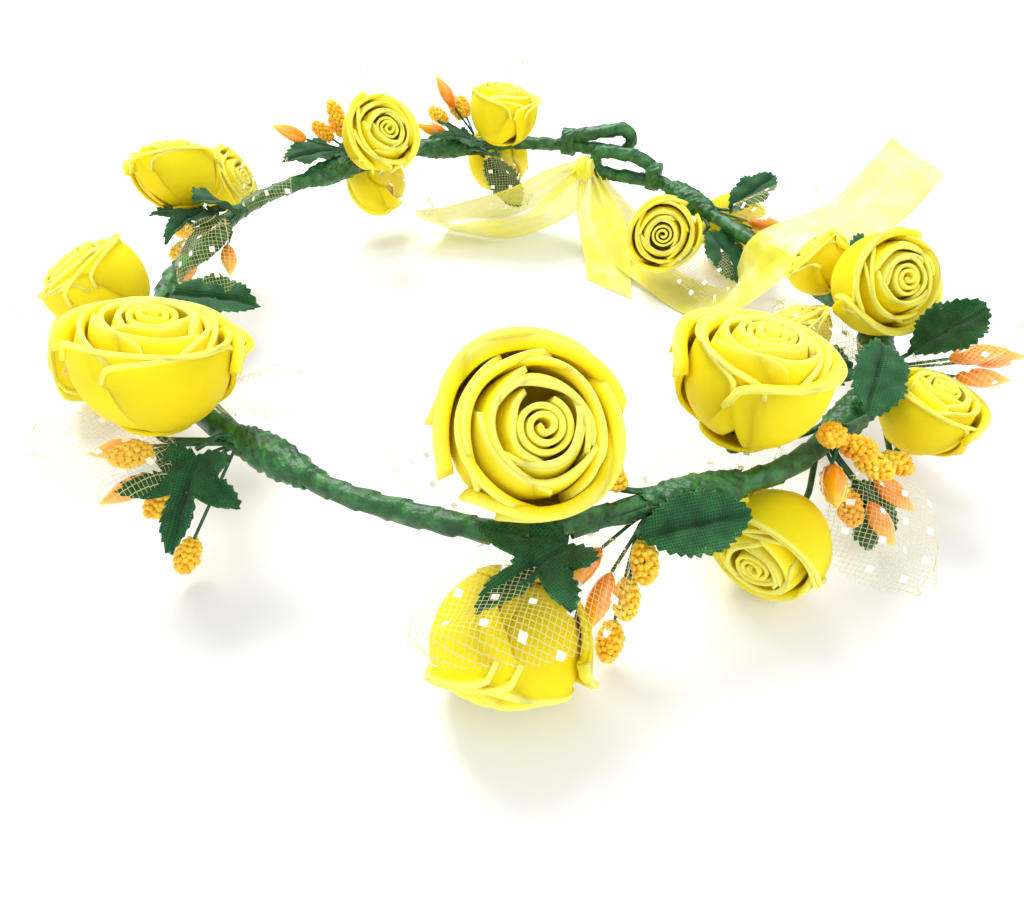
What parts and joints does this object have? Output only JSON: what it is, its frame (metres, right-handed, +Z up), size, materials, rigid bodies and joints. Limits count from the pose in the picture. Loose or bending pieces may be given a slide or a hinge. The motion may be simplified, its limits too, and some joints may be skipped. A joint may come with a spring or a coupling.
{
  "type": "flower crown",
  "caption": "Open-backed head crown: a taped wire hoop with foam roses, fabric leaves, beaded stamens and dotted tulle bound round it, and an organza ribbon tied through its two end eyes.",
  "frame": {"origin": "on the surface that the crown lies on, at the middle of the head opening", "axes": "+Z up, through the head opening; +Y towards the closure with the ribbon; +X to the right seen from the front"},
  "size_m": [0.2547, 0.2274, 0.0619],
  "materials": {
    "hoop_wire": "annealed, dull",
    "wire_cover": "spun paper, matte grey-green",
    "floral_tape": "waxed crepe tape, stretched, satin",
    "green_stem": "thin green cover on wire",
    "rose_foam": "closed-cell foam sheet, matte",
    "leaf_cloth": "stiffened plain weave",
    "sugar_bead": "beads in a sugared coat",
    "pip_lacquer": "wet-look lacquer",
    "dotted_tulle": "soft net with flocked dots",
    "organza": "sheer plain weave, slight sheen"
  },
  "bodies": {
    "root": {"hoop_wire": "hoop_wire", "wire_cover": "wire_cover", "stem_tape": "floral_tape", "bunch_bindings": "floral_tape", "eye_tabs": "floral_tape", "rose_stems": "green_stem", "leaf_stems": "green_stem", "stamen_wires": "green_stem", "rose_upper_a": "rose_foam", "rose_lower_a": "rose_foam", "rose_upper_b": "rose_foam", "rose_lower_b": "rose_foam", "rose_upper_c": "rose_foam", "rose_lower_c": "rose_foam", "rose_upper_d": "rose_foam", "rose_lower_d": "rose_foam", "rose_upper_e": "rose_foam", "rose_lower_e": "rose_foam", "rose_upper_f": "rose_foam", "rose_lower_f": "rose_foam", "rose_upper_g": "rose_foam", "rose_lower_g": "rose_foam", "rose_upper_h": "rose_foam", "rose_lower_h": "rose_foam", "rose_upper_i": "rose_foam", "rose_lower_i": "rose_foam", "rose_upper_j": "rose_foam", "rose_lower_j": "rose_foam", "leaves_a": "leaf_cloth", "leaves_b": "leaf_cloth", "leaves_c": "leaf_cloth", "leaves_d": "leaf_cloth", "leaves_e": "leaf_cloth", "leaves_f": "leaf_cloth", "leaves_g": "leaf_cloth", "leaves_h": "leaf_cloth", "leaves_i": "leaf_cloth", "leaves_j": "leaf_cloth", "berries_a": "sugar_bead", "berries_b": "sugar_bead", "berries_c": "sugar_bead", "berries_d": "sugar_bead", "berries_e": "sugar_bead", "berries_f": "sugar_bead", "berries_g": "sugar_bead", "berries_h": "sugar_bead", "berries_i": "sugar_bead", "berries_j": "sugar_bead", "pips": "pip_lacquer", "tulle_a": "dotted_tulle", "tulle_b": "dotted_tulle", "tulle_c": "dotted_tulle", "tulle_d": "dotted_tulle", "tulle_e": "dotted_tulle", "tulle_f": "dotted_tulle", "tulle_g": "dotted_tulle", "tulle_h": "dotted_tulle", "tulle_i": "dotted_tulle", "tulle_j": "dotted_tulle", "ribbon": "organza"}
  },
  "joints": []
}
